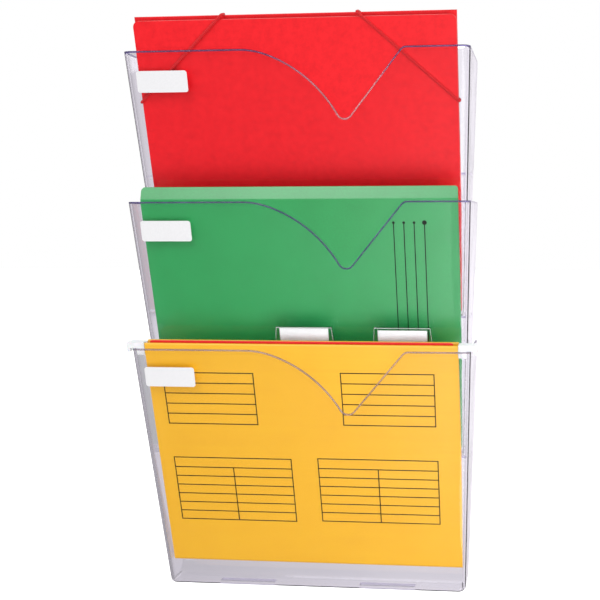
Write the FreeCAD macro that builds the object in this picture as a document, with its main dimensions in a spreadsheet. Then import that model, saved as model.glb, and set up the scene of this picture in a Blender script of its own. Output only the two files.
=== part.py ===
import FreeCAD, Part

import math
import os

import Sketcher
from FreeCAD import Placement, Rotation, Vector

# Three-tier wall file. Millimetres, +Z up, +X to the right as seen from the front.
# The wall is the plane y = 0 and the pockets stand in front of it, at y < 0.
# The origin is the centre of the lower pocket's row of wall screw holes.

SIZES = {
    # one pocket moulding, outside sizes
    "pocket_top_width": 336,
    "pocket_bottom_width": 316,
    "pocket_height": 259,
    "pocket_top_depth": 102,
    "pocket_bottom_depth": 44.5,
    "wall": 2.2,
    "corner_radius": 8,
    "bottom_edge_radius": 5,
    "heel_radius": 22,
    "rim_corner_radius": 8,
    # finger notch in the front panel
    "notch_left": -53,
    "shoulder_radius": 78,
    "shoulder_turn": 20,
    "slope_radius": 122.5,
    "slope_turn": 41,
    "notch_bottom_radius": 8,
    "notch_right_angle": 49.6,
    "notch_lip_radius": 8,
    # how one pocket carries the next
    "pitch": 144,
    "ledge_depth": 42,
    "lug_spacing": 150,
    "lug_width": 52,
    "lug_thick": 3,
    "lug_rise": 6,
    "lug_setback": 32,
    "slot_width": 59,
    "slot_depth": 6,
    "rib_spacing": 160,
    "rib_width": 1.6,
    "rib_proud": 1.5,
    # wall screws
    "screw_row": 118,
    "screw_spacing": 200,
    "screw_hole_radius": 2.5,
    # front label
    "label_width": 50.5,
    "label_tall": 20.5,
    "label_thick": 0.3,
    "label_left": -156,
    "label_foot": 220.5,
    "label_corner": 2.5,
    # where a filed folder leans
    "file_tilt": 15,
    "file_gap": 3.2,
    "file_foot": 3.5,
    "file_width": 311,
    # elastic folder in the upper pocket
    "red_back_tall": 296.5,
    "red_front_tall": 293,
    "red_thick": 7,
    "red_board": 0.9,
    "red_corner": 6,
    "flap_thick": 0.5,
    "flap_tall": 90,
    "flap_inset": 6,
    "elastic_radius": 1.1,
    "elastic_top_run": 92,
    "elastic_side_drop": 83,
    # flat file in the middle pocket
    "green_tall": 277.5,
    "green_thick": 8,
    "green_board": 0.8,
    "green_corner": 4,
    "spine_space": 4,
    "prong_spacing": 80,
    "prong_radius": 1.2,
    "punch_radius": 2.75,
    "fastener_drop": 15,
    "fastener_width": 12,
    "fastener_length": 105,
    "fastener_thick": 0.4,
    # sheets filed in the folders
    "sheet_width": 297,
    "sheet_tall": 230,
    # free space between neighbouring cards, and how far a cutting block overshoots
    "card_play": 0.3,
    "overcut": 1,
    # suspension file in the lower pocket
    "sleeve_foot": 22,
    "sleeve_tall": 250.5,
    "sleeve_thick": 9.8,
    "sleeve_board": 0.8,
    "hem_tall": 13,
    "hem_gap": 1.8,
    "rod_tall": 7,
    "rod_thick": 1.4,
    "rod_length": 324,
    "rod_play": 0.1,
    "hook_root": 156,
    "hook_inside": 164,
    "hook_reach": 174,
    "hook_tall": 6,
    "hook_root_tall": 11,
    "hook_thick": 3.6,
    "hook_nose_wide": 3.5,
    "hook_nose_drop": 4,
    "hook_nose_radius": 1.2,
    "thin_folder_tall": 252.5,
    "thin_folder_width": 304,
    "thin_folder_thick": 2.6,
    "thin_folder_board": 0.6,
    # index tabs
    "tab_spacing": 97.5,
    "tab_middle": 51.7,
    "tab_top_width": 55.5,
    "tab_bottom_width": 60,
    "tab_tall": 24.3,
    "tab_foot": 239.5,
    "tab_thick": 2.4,
    "tab_shell": 0.6,
    "insert_width": 48.5,
    "insert_tall": 23,
}

LEVELS = {"lower": 0, "middle": 1, "upper": 2}
X_AXIS = Vector(1, 0, 0)

doc = FreeCAD.newDocument("WallFile")
sheet = doc.addObject("Spreadsheet::Sheet", "Sizes")
for row, (alias, value) in enumerate(SIZES.items(), start=1):
    sheet.set("A%d" % row, str(value))
    sheet.setAlias("A%d" % row, alias)
doc.recompute()


def size(alias):
    """The plain number held by one cell of the sheet."""
    return float(sheet.get(alias))


def bind(target, **expressions):
    """Tie properties to the sheet: words in an expression that name a cell become references."""
    for prop, expression in expressions.items():
        words = "".join(c if c.isalnum() or c == "_" else " " for c in expression).split()
        for word in sorted(set(words) & set(SIZES), key=len, reverse=True):
            expression = replace_word(expression, word, "Sizes." + word)
        target.setExpression(prop.replace("__", "."), expression)


def replace_word(text, word, new):
    """Replace whole words only, leaving longer names that contain the word alone."""
    out = []
    piece = ""
    for character in text + " ":
        if character.isalnum() or character in "_.":
            piece += character
            continue
        out.append(new if piece == word else piece)
        out.append(character)
        piece = ""
    return "".join(out).strip()


# ---------------------------------------------------------------- building blocks

def new_body(name):
    body = doc.addObject("PartDesign::Body", name)
    body.Label = name
    return body


def box(body, name, x, y, z, cut=False):
    """A block given by (start, length) expressions along each axis, added or cut away."""
    kind = "PartDesign::SubtractiveBox" if cut else "PartDesign::AdditiveBox"
    block = body.newObject(kind, name)
    bind(block, Length=x[1], Width=y[1], Height=z[1],
         Placement__Base__x=x[0], Placement__Base__y=y[0], Placement__Base__z=z[0])
    return block


def rod_along_y(body, name, x, y, z, radius, length, cut=False):
    """A round bar or hole that runs from y towards the front."""
    kind = "PartDesign::SubtractiveCylinder" if cut else "PartDesign::AdditiveCylinder"
    bar = body.newObject(kind, name)
    bar.Placement = Placement(Vector(), Rotation(X_AXIS, 90))
    bind(bar, Radius=radius, Height=length,
         Placement__Base__x=x, Placement__Base__y=y, Placement__Base__z=z)
    return bar


def wedge(body, name, half_bottom, half_top, foot, top, back, bottom_front, top_front, cut=False):
    """A block that widens upwards: its sizes are given at its foot and at its top."""
    kind = "PartDesign::SubtractiveWedge" if cut else "PartDesign::AdditiveWedge"
    block = body.newObject(kind, name)
    block.Placement = Placement(Vector(), Rotation(X_AXIS, 90))
    bind(block, Xmin="-(%s)" % half_bottom, Xmax=half_bottom, X2min="-(%s)" % half_top, X2max=half_top,
         Ymin=foot, Ymax=top, Zmin=back, Z2min=back, Zmax=bottom_front, Z2max=top_front)
    return block


def round_edges(body, name, radius, chosen):
    """Fillet the edges of the body's tip whose bounding box passes the test."""
    doc.recompute()
    base = body.Tip
    edges = ["Edge%d" % number for number, edge in enumerate(base.Shape.Edges, start=1)
             if chosen(edge.BoundBox)]
    if not edges:
        raise ValueError("no edges to round for " + name)
    fillet = body.newObject("PartDesign::Fillet", name)
    fillet.Base = (base, edges)
    bind(fillet, Radius=radius)
    doc.recompute()
    return fillet


def near(value, target):
    return abs(value - target) < 0.02


def sketch_on(body, name, plane, offset="0"):
    sketch = body.newObject("Sketcher::SketchObject", name)
    origin_plane = next(f for f in body.Origin.OriginFeatures if f.Role == plane)
    sketch.AttachmentSupport = (origin_plane, "")
    sketch.MapMode = "FlatFace"
    bind(sketch, AttachmentOffset__Base__z=offset)
    return sketch


def cut_sketch(body, sketch, name, length, symmetric=False):
    """Pocket a sketch and make sure that it really removed material."""
    doc.recompute()
    before = body.Tip.Shape.Volume
    pocket = body.newObject("PartDesign::Pocket", name)
    pocket.Profile = sketch
    pocket.Type = "Length"
    pocket.SideType = "Symmetric" if symmetric else "One side"
    bind(pocket, Length=length)
    doc.recompute()
    if pocket.Shape.Volume > before - 1:
        raise ValueError(name + " cuts nothing")
    return pocket


# ---------------------------------------------------------------- the pocket moulding

HALF_TOP = "pocket_top_width / 2"
HALF_BOTTOM = "pocket_bottom_width / 2"
SIDE_SLOPE = "((pocket_top_width - pocket_bottom_width) / 2 / pocket_height)"
FRONT_SLOPE = "((pocket_top_depth - pocket_bottom_depth) / pocket_height)"


def inner_half_width(height):
    return "(%s + %s * (%s) - wall)" % (HALF_BOTTOM, SIDE_SLOPE, height)


def front_tilt():
    """Lean of the front panel from upright, in degrees."""
    rise = size("pocket_height")
    run = size("pocket_top_depth") - size("pocket_bottom_depth")
    return math.degrees(math.atan2(run, rise))


def slanted_wall():
    """Horizontal thickness of the leaning front panel."""
    return size("wall") / math.cos(math.radians(front_tilt()))


def pocket_shell(body):
    """Tapered box with rounded corners, hollowed from the top."""
    height = size("pocket_height")
    wall = size("wall")
    wedge(body, "outside", HALF_BOTTOM, HALF_TOP, "0", "pocket_height", "0",
          "pocket_bottom_depth", "pocket_top_depth")
    front_wall = "%.4f" % slanted_wall()
    wedge(body, "hollow", inner_half_width("wall"), inner_half_width("pocket_height"),
          "wall", "pocket_height", "wall",
          "pocket_bottom_depth + %s * wall - %s" % (FRONT_SLOPE, front_wall),
          "pocket_top_depth - %s" % front_wall, cut=True)
    round_edges(body, "inner_corners", "corner_radius - wall",
                lambda b: near(b.ZMin, wall) and b.ZLength > height / 2 and b.YMax < -wall - 1)
    round_edges(body, "inner_heel", "heel_radius - wall",
                lambda b: near(b.ZMax, wall) and near(b.YMin, -wall) and b.XLength > height)
    round_edges(body, "outer_corners", "corner_radius",
                lambda b: near(b.ZMin, 0) and b.ZLength > height / 2 and b.YMax < -wall - 1)
    round_edges(body, "bottom_edges", "bottom_edge_radius",
                lambda b: b.ZMax < 0.02 and b.YMin < -1)


def pocket_heel(body):
    """Round the outside of the long edge between the floor and the back panel."""
    sketch = sketch_on(body, "heel_profile", "YZ_Plane")
    radius = size("heel_radius")
    corner = Vector(0, 0, 0)
    floor_end = Vector(-radius, 0, 0)
    back_end = Vector(0, radius, 0)
    floor_line = sketch.addGeometry(Part.LineSegment(floor_end, corner))
    back_line = sketch.addGeometry(Part.LineSegment(corner, back_end))
    circle = Part.Circle(Vector(-radius, radius, 0), Vector(0, 0, 1), radius)
    bend = sketch.addGeometry(Part.ArcOfCircle(circle, -math.pi / 2, 0))
    sketch.addConstraint(Sketcher.Constraint("Coincident", floor_line, 2, -1, 1))
    sketch.addConstraint(Sketcher.Constraint("Coincident", back_line, 1, -1, 1))
    sketch.addConstraint(Sketcher.Constraint("Horizontal", floor_line))
    sketch.addConstraint(Sketcher.Constraint("Vertical", back_line))
    sketch.addConstraint(Sketcher.Constraint("Tangent", bend, 1, floor_line, 1))
    sketch.addConstraint(Sketcher.Constraint("Tangent", bend, 2, back_line, 2))
    rule = sketch.addConstraint(Sketcher.Constraint("Radius", bend, radius))
    sketch.renameConstraint(rule, "heel")
    sketch.setExpression("Constraints.heel", "Sizes.heel_radius")
    cut_sketch(body, sketch, "outer_heel", "2 * pocket_top_width", symmetric=True)


def arc_from(start, heading, radius, turn):
    """An arc that leaves start along heading and turns by turn degrees (left is positive)."""
    side = 1 if turn > 0 else -1
    normal = Vector(-math.sin(heading), math.cos(heading), 0) * side
    centre = start + normal * radius

    def at(angle):
        return centre + Rotation(Vector(0, 0, 1), angle).multVec(start - centre)

    arc = Part.Arc(start, at(turn / 2), at(turn))
    return arc, at(turn), heading + math.radians(turn)


def notch_outline():
    """Closed outline, in front view, of what the finger notch removes from the front panel."""
    top = size("pocket_height")
    start = Vector(size("notch_left"), top, 0)
    shoulder, point, heading = arc_from(start, 0, size("shoulder_radius"), -size("shoulder_turn"))
    slope, point, heading = arc_from(point, heading, size("slope_radius"), -size("slope_turn"))
    rising = size("notch_right_angle")
    turn = rising - math.degrees(heading)
    bottom, point, heading = arc_from(point, heading, size("notch_bottom_radius"), turn)
    lip_radius = size("notch_lip_radius")
    lip_rise = lip_radius * (1 - math.cos(heading))
    run = (top - lip_rise - point.y) / math.tan(heading)
    lip_start = Vector(point.x + run, top - lip_rise, 0)
    side = Part.LineSegment(point, lip_start)
    lip, end, heading = arc_from(lip_start, heading, lip_radius, -rising)
    above = Vector(0, size("corner_radius"), 0)
    cap = [Part.LineSegment(end, end + above), Part.LineSegment(end + above, start + above),
           Part.LineSegment(start + above, start)]
    return [shoulder, slope, bottom, side, lip] + cap


def pocket_notch(body):
    """Cut the finger notch through the front panel only."""
    sketch = sketch_on(body, "notch_profile", "XZ_Plane", "pocket_top_depth + corner_radius")
    sketch.addGeometry(notch_outline())
    cut_sketch(body, sketch, "finger_notch", "pocket_top_depth / 2")


def pocket_back(body):
    """Open the back above the ledge and round the free rear corners of the side walls."""
    height = size("pocket_height")
    wedge(body, "open_back", inner_half_width("pitch"), inner_half_width("pocket_height"),
          "pitch", "pocket_height", "-wall", "wall * 2", "wall * 2", cut=True)
    round_edges(body, "rear_rim_corners", "rim_corner_radius",
                lambda b: near(b.ZMin, height) and near(b.YMin, 0) and b.XLength < size("wall") * 2)
    for side, sign in (("left", "-"), ("right", "")):
        rod_along_y(body, side + "_screw_hole", sign + "screw_spacing / 2", "wall", "screw_row",
                    "screw_hole_radius", "wall * 3", cut=True)
        box(body, side + "_rib", (sign + "rib_spacing / 2 - rib_width / 2", "rib_width"),
            ("-wall - rib_proud", "rib_proud + wall / 2"), ("heel_radius", "pitch - wall - heel_radius"))


def pocket_ledge(body):
    """Ledge with two lugs that carries the pocket above, and the floor slots that take such lugs."""
    half = inner_half_width("pitch - wall") + " + wall / 2"
    box(body, "ledge", ("-(%s)" % half, "2 * (%s)" % half),
        ("-ledge_depth", "ledge_depth"), ("pitch - wall", "wall"))
    for side, sign in (("left", "-"), ("right", "")):
        middle = sign + "lug_spacing / 2"
        box(body, side + "_lug", (middle + " - lug_width / 2", "lug_width"),
            ("-lug_setback - lug_thick / 2", "lug_thick"), ("pitch - wall / 2", "wall * 1.5 + lug_rise"))
        box(body, side + "_slot", (middle + " - slot_width / 2", "slot_width"),
            ("-lug_setback - slot_depth / 2", "slot_depth"), ("-wall", "wall * 2.5"), cut=True)


def level_height(level):
    """Height of a pocket's underside above the origin."""
    return LEVELS[level] * size("pitch") - size("screw_row")


def pocket(level):
    body = new_body(level + "_pocket")
    pocket_shell(body)
    pocket_heel(body)
    pocket_back(body)
    pocket_ledge(body)
    pocket_notch(body)
    body.Placement = Placement(Vector(0, 0, level_height(level)), Rotation())
    return body


def label(level):
    """Blank label stuck flat on the front panel."""
    body = new_body(level + "_label")
    box(body, "plate", ("0", "label_width"), ("-label_thick", "label_thick"), ("0", "label_tall"))
    round_edges(body, "corners", "label_corner", lambda b: b.YLength > 0.01 and b.XLength < 0.01
                and b.ZLength < 0.01)
    foot = size("label_foot")
    slope = (size("pocket_top_depth") - size("pocket_bottom_depth")) / size("pocket_height")
    front = size("pocket_bottom_depth") + slope * foot
    body.Placement = Placement(Vector(size("label_left"), -front, level_height(level) + foot),
                               Rotation(X_AXIS, front_tilt()))
    return body


# ---------------------------------------------------------------- filed folders

def filed(level, foot):
    """Placement of a folder that leans on the rim of a pocket's front panel.

    In this frame x runs across, y from the folder's front face to its back and z up its slope.
    """
    tilt = size("file_tilt")
    rim = -size("pocket_top_depth") + slanted_wall() + size("file_gap")
    front = rim + math.tan(math.radians(tilt)) * (size("pocket_height") - size(foot))
    return Placement(Vector(0, front, level_height(level) + size(foot)), Rotation(X_AXIS, tilt))


def across(width):
    """Start and length of a span centred on x = 0."""
    return "-(%s) / 2" % width, width


def round_sheet_corners(body, name, radius, chosen):
    """Round corners of a card: its short edges that run straight through the thickness."""
    round_edges(body, name, radius,
                lambda b: b.XLength < 0.01 and b.ZLength < 0.01 and b.YLength > 0.1 and chosen(b))


def red_folder():
    """Elastic folder: folded board, inside flap, sheets and the two corner elastics."""
    place = filed("upper", "file_foot")
    card = new_body("red_folder_card")
    box(card, "spine", across("file_width"), ("0", "red_thick"), ("0", "red_board"))
    box(card, "front_cover", across("file_width"), ("0", "red_board"), ("0", "red_front_tall"))
    box(card, "back_cover", across("file_width"), ("red_thick - red_board", "red_board"),
        ("0", "red_back_tall"))
    round_sheet_corners(card, "front_cover_corners", "red_corner",
                        lambda b: b.ZMin > size("flap_tall") and b.YMax < size("red_thick") / 2)
    flap = new_body("red_folder_flap")
    box(flap, "flap", across("file_width - 2 * flap_inset"),
        ("red_thick - red_board - card_play - flap_thick", "flap_thick"),
        ("red_board + card_play", "flap_tall"))
    round_sheet_corners(flap, "flap_corners", "red_corner", lambda b: b.ZMin > size("flap_tall") / 2)
    papers = sheets("red_folder_papers", "red_board + card_play",
                    "red_thick - 2 * red_board - flap_thick - 3 * card_play", "red_board + card_play")
    for body in (card, flap, papers):
        body.Placement = place
    for side, sign in (("left", -1), ("right", 1)):
        elastic("red_elastic_" + side, sign).Placement = place


def sheets(name, back, thick, foot):
    body = new_body(name)
    box(body, "stack", across("sheet_width"), (back, thick), (foot, "sheet_tall"))
    return body


def elastic(name, sign):
    """Round elastic cord looped over one top corner of the folder, as a closed loop of straight runs."""
    radius = size("elastic_radius")
    edge = size("file_width") / 2
    top = size("red_back_tall")
    clear = radius + size("card_play")
    over_top = (sign * (edge - size("elastic_top_run")), top + clear)
    round_side = (sign * (edge + clear), top - size("elastic_side_drop"))
    corners = [Vector(over_top[0], -clear, over_top[1]),
               Vector(round_side[0], -clear, round_side[1]),
               Vector(round_side[0], size("red_thick") + clear, round_side[1]),
               Vector(over_top[0], size("red_thick") + clear, over_top[1])]
    pieces = []
    for start, end in zip(corners, corners[1:] + corners[:1]):
        run = end - start
        pieces.append(Part.makeCylinder(radius, run.Length, start, run))
        pieces.append(Part.makeSphere(radius, start))
    band = doc.addObject("Part::Feature", name)
    band.Label = name
    band.Shape = pieces[0].multiFuse(pieces[1:]).removeSplitter()
    return band


def green_folder():
    """Flat file filed with its spine up: folded card, punched sheets and their fastener."""
    place = filed("middle", "file_foot")
    card = new_body("green_folder_card")
    box(card, "block", across("file_width"), ("0", "green_thick"), ("0", "green_tall"))
    round_sheet_corners(card, "corners", "green_corner", lambda b: True)
    box(card, "inside", across("file_width + 2 * overcut"),
        ("green_board", "green_thick - 2 * green_board"),
        ("-overcut", "green_tall - green_board + overcut"), cut=True)
    papers = sheets("green_folder_papers", "green_board + 2 * card_play",
                    "green_thick - 2 * green_board - fastener_thick - 4 * card_play",
                    "green_tall - sheet_tall - spine_space")
    fastener = new_body("green_folder_fastener")
    prong_height = "green_tall - fastener_drop"
    box(fastener, "strip", across("fastener_length"),
        ("green_thick - green_board - card_play - fastener_thick", "fastener_thick"),
        ("green_tall - fastener_drop - fastener_width / 2", "fastener_width"))
    for side, sign in (("left", "-"), ("right", "")):
        x = sign + "prong_spacing / 2"
        rod_along_y(papers, side + "_punched_hole", x, "green_thick", prong_height,
                    "punch_radius", "green_thick", cut=True)
        rod_along_y(fastener, side + "_prong", x, "green_thick - green_board - card_play", prong_height,
                    "prong_radius", "green_thick - 2 * green_board - 2 * card_play")
    for body in (card, papers, fastener):
        body.Placement = place


# ---------------------------------------------------------------- suspension file

def suspension_sleeve():
    """Card sleeve: two leaves joined at the bottom, each with a hem for its rod."""
    sleeve = new_body("suspension_sleeve")
    rear = "sleeve_thick - sleeve_board"
    hem_depth = "2 * sleeve_board + hem_gap"
    box(sleeve, "fold", across("file_width"), ("0", "sleeve_thick"), ("0", "sleeve_board"))
    box(sleeve, "front_leaf", across("file_width"), ("0", "sleeve_board"), ("0", "sleeve_tall"))
    box(sleeve, "rear_leaf", across("file_width"), (rear, "sleeve_board"), ("0", "sleeve_tall"))
    for side, start in (("front", "0"), ("rear", rear)):
        box(sleeve, side + "_hem", across("file_width"), (start, hem_depth),
            ("sleeve_tall - hem_tall", "hem_tall"))
        box(sleeve, side + "_channel", across("file_width + 2 * overcut"),
            (start + " + sleeve_board", "hem_gap"),
            ("sleeve_tall - hem_tall + sleeve_board", "hem_tall - 2 * sleeve_board"), cut=True)
    return sleeve


def suspension_rod(name, start):
    """Flat steel rod that lies in a hem."""
    rod = new_body(name)
    box(rod, "bar", across("rod_length"),
        (start + " + sleeve_board + (hem_gap - rod_thick) / 2", "rod_thick"),
        ("sleeve_tall - hem_tall / 2 - rod_tall / 2", "rod_tall"))
    return rod


def hook(name, side, start):
    """White end of a rod: it rests on the top of a side wall and turns down outside it."""
    tilt = math.radians(size("file_tilt"))
    rod_middle = start + size("sleeve_board") + size("hem_gap") / 2
    front = rod_middle - size("hook_thick") / 2
    rise = (size("pocket_height") - size("sleeve_foot")) / math.cos(tilt)
    rest = "%.4f" % (rise - front * math.tan(tilt))
    through = "%.4f" % front, "hook_thick"
    rod_height = "(sleeve_tall - hem_tall / 2)"

    def along(first, last):
        """Start and length of a span between two distances from the middle of the file."""
        return (first if side > 0 else "-(%s)" % last), "%s - (%s)" % (last, first)

    body = new_body(name)
    box(body, "bar", along("hook_root", "hook_reach"), through, (rest, "hook_tall"))
    box(body, "nose", along("hook_reach - hook_nose_wide", "hook_reach"), through,
        (rest + " - hook_nose_drop", "hook_nose_drop + hook_tall / 2"))
    root_foot = rod_height + " - hook_root_tall / 2"
    box(body, "root", along("hook_root", "hook_inside"), through,
        (root_foot, "%s + hook_tall / 2 - (%s)" % (rest, root_foot)))
    box(body, "rod_slot", along("hook_root - overcut", "rod_length / 2 + rod_play"),
        ("%.4f - rod_thick / 2 - rod_play" % rod_middle, "rod_thick + 2 * rod_play"),
        (rod_height + " - rod_tall / 2 - rod_play", "rod_tall + 2 * rod_play"), cut=True)
    round_edges(body, "nose_corners", "hook_nose_radius",
                lambda b: b.XLength < 0.01 and b.ZLength < 0.01 and near(abs(b.XMin), size("hook_reach")))
    body.Placement = filed("lower", "sleeve_foot")
    return body


def index_tab(side, middle):
    """Clear folded holder with a white card insert, clipped behind the rear leaf."""
    start = "sleeve_thick + sleeve_board + hem_gap + card_play"
    holder = new_body("index_holder_" + side)
    shell = holder.newObject("PartDesign::AdditiveWedge", "shell")
    shell.Placement = Placement(Vector(), Rotation(X_AXIS, 90))
    bind(shell, Xmin=middle + " - tab_bottom_width / 2", Xmax=middle + " + tab_bottom_width / 2",
         X2min=middle + " - tab_top_width / 2", X2max=middle + " + tab_top_width / 2",
         Ymin="tab_foot", Ymax="tab_foot + tab_tall", Zmin="-tab_thick", Zmax="0",
         Z2min="-tab_thick", Z2max="0", Placement__Base__y=start)
    box(holder, "insert_slot",
        (middle + " - insert_width / 2 - card_play", "insert_width + 2 * card_play"),
        (start + " + tab_shell", "tab_thick - 2 * tab_shell"),
        ("tab_foot - overcut", "insert_tall + overcut + 2 * card_play"), cut=True)
    card = new_body("index_insert_" + side)
    box(card, "card", (middle + " - insert_width / 2", "insert_width"),
        (start + " + tab_shell + card_play", "tab_thick - 2 * tab_shell - 2 * card_play"),
        ("tab_foot + card_play", "insert_tall"))
    return [holder, card]


def suspension_file():
    """Hanging file with its rods, hooks, index tabs, a thin folder and sheets in it."""
    rear = "sleeve_thick - sleeve_board"
    bodies = [suspension_sleeve(), suspension_rod("suspension_front_rod", "0"),
              suspension_rod("suspension_rear_rod", rear)]
    bodies += index_tab("left", "tab_middle - tab_spacing / 2")
    bodies += index_tab("right", "tab_middle + tab_spacing / 2")
    folder = new_body("thin_red_folder")
    hem_back = "2 * sleeve_board + hem_gap + card_play"
    box(folder, "fold", across("thin_folder_width"), (hem_back, "thin_folder_thick"),
        ("sleeve_board + card_play", "thin_folder_board"))
    for name, start in (("front_cover", hem_back),
                        ("back_cover", hem_back + " + thin_folder_thick - thin_folder_board")):
        box(folder, name, across("thin_folder_width"), (start, "thin_folder_board"),
            ("sleeve_board + card_play", "thin_folder_tall"))
    bodies.append(folder)
    bodies.append(sheets("suspension_papers", hem_back + " + thin_folder_board + card_play",
                         "thin_folder_thick - 2 * thin_folder_board - 2 * card_play",
                         "sleeve_board + thin_folder_board + 2 * card_play"))
    place = filed("lower", "sleeve_foot")
    for body in bodies:
        body.Placement = place
    for row, start in (("front", 0), ("rear", size("sleeve_thick") - size("sleeve_board"))):
        hook("hook_%s_left" % row, -1, start)
        hook("hook_%s_right" % row, 1, start)


# ---------------------------------------------------------------- build, test and write

def finished_pieces():
    """Every piece, after making sure that nothing failed on the way."""
    doc.recompute()
    for item in doc.Objects:
        if "Invalid" in item.State or "Error" in item.State:
            raise ValueError("%s failed: %s" % (item.Label, item.State))
    pieces = [item for item in doc.Objects
              if item.TypeId in ("PartDesign::Body", "Part::Feature")]
    for piece in pieces:
        if piece.Shape.isNull() or not piece.Shape.isValid() or len(piece.Shape.Solids) != 1:
            raise ValueError(piece.Label + " is not one valid solid")
    return pieces


for level_name in LEVELS:
    pocket(level_name)
    label(level_name)
red_folder()
green_folder()
suspension_file()

os.makedirs("parts", exist_ok=True)
for piece in finished_pieces():
    piece.Shape.exportStep("parts/%s.step" % piece.Label)
    print("%-24s %9.1f mm3" % (piece.Label, piece.Shape.Volume))
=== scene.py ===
import math
import random

import bmesh
import bpy
from mathutils import Matrix, Vector


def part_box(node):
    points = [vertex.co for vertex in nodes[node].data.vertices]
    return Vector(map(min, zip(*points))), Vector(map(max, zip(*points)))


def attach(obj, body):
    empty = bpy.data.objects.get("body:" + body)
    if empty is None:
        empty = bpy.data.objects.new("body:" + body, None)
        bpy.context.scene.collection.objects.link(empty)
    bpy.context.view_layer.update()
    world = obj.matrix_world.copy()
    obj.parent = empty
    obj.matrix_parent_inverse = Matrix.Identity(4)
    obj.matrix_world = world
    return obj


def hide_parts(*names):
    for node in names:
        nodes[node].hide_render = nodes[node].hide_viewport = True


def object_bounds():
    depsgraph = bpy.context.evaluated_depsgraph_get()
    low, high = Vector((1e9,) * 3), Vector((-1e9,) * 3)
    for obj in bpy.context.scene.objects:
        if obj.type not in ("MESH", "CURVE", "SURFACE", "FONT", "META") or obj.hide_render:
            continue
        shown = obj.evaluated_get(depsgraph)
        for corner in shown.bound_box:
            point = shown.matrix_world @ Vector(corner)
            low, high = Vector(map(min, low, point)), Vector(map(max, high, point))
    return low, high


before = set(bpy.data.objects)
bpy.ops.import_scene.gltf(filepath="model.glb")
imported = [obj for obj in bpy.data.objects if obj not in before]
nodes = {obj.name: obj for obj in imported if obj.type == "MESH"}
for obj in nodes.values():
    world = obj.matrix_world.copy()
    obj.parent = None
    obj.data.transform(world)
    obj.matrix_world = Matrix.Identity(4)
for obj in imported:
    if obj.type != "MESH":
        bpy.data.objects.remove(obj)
cad_low, cad_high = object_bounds()

MM = 0.001
FILE_TILT = math.radians(15)
LEVELS = ("lower", "middle", "upper")


# ---------------------------------------------------------------- node helpers

class Nodes:
    """A short way to write a procedural material: each call adds one node and returns its output."""

    def __init__(self, name):
        self.material = bpy.data.materials.new(name)
        self.material.use_nodes = True
        self.tree = self.material.node_tree
        self.tree.nodes.clear()
        self.output = self.tree.nodes.new("ShaderNodeOutputMaterial")
        self.place = self.add("ShaderNodeTexCoord").outputs["Object"]

    def add(self, kind, links=None, **settings):
        node = self.tree.nodes.new(kind)
        for key, value in settings.items():
            setattr(node, key, value)
        for key, value in (links or {}).items():
            socket = node.inputs[key]
            if isinstance(value, bpy.types.NodeSocket):
                self.tree.links.new(value, socket)
            else:
                socket.default_value = value
        return node

    def mapped(self, scale, turn=(0, 0, 0)):
        """Object coordinates stretched by scale and turned."""
        links = {"Vector": self.place, "Scale": scale, "Rotation": turn}
        return self.add("ShaderNodeMapping", links).outputs[0]

    def noise(self, scale, detail=3, roughness=0.5, vector=None):
        links = {"Vector": vector or self.place, "Scale": scale, "Detail": detail, "Roughness": roughness}
        return self.add("ShaderNodeTexNoise", links).outputs["Fac"]

    def ramp(self, factor, *stops):
        """Colour ramp: stops are (position, colour)."""
        node = self.add("ShaderNodeValToRGB", {"Fac": factor})
        elements = node.color_ramp.elements
        while len(elements) < len(stops):
            elements.new(0.5)
        for element, (position, colour) in zip(elements, stops):
            element.position = position
            element.color = (*colour, 1)
        return node.outputs["Color"]

    def span(self, factor, low, high):
        """Map 0..1 to low..high."""
        links = {"Value": factor, "To Min": low, "To Max": high}
        return self.add("ShaderNodeMapRange", links).outputs[0]

    def fade(self, value, start, end):
        """Map start..end to 0..1."""
        links = {"Value": value, "From Min": start, "From Max": end}
        return self.add("ShaderNodeMapRange", links).outputs[0]

    def xyz(self, vector):
        return self.add("ShaderNodeSeparateXYZ", {"Vector": vector}).outputs

    def both(self, *factors):
        """The product of two or more masks."""
        product = factors[0]
        for factor in factors[1:]:
            product = self.math("MULTIPLY", product, factor)
        return product

    def mix(self, factor, a, b):
        node = self.add("ShaderNodeMix", data_type="RGBA")
        for index, value in ((0, factor), (6, a), (7, b)):
            if isinstance(value, bpy.types.NodeSocket):
                self.tree.links.new(value, node.inputs[index])
            elif index:
                node.inputs[index].default_value = (*value, 1)
            else:
                node.inputs[index].default_value = value
        return node.outputs[2]

    def math(self, operation, a, b=0.0):
        node = self.add("ShaderNodeMath", operation=operation)
        for index, value in enumerate((a, b)):
            if isinstance(value, bpy.types.NodeSocket):
                self.tree.links.new(value, node.inputs[index])
            else:
                node.inputs[index].default_value = value
        return node.outputs[0]

    def bump(self, height, distance, strength=1.0, normal=None):
        links = {"Height": height, "Distance": distance, "Strength": strength}
        if normal is not None:
            links["Normal"] = normal
        return self.add("ShaderNodeBump", links).outputs["Normal"]

    def surface(self, **sockets):
        """The Principled shader, with underscores in the socket names for spaces."""
        links = {key.replace("_", " "): value for key, value in sockets.items()}
        shader = self.add("ShaderNodeBsdfPrincipled", links)
        self.tree.links.new(shader.outputs[0], self.output.inputs["Surface"])
        return self.material


def rgb(red, green, blue):
    """Screen colour (0 to 255) as the linear colour that shaders use."""
    def linear(value):
        value /= 255
        return value / 12.92 if value <= 0.04045 else ((value + 0.055) / 1.055) ** 2.4
    return linear(red), linear(green), linear(blue)


# ---------------------------------------------------------------- materials

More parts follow.
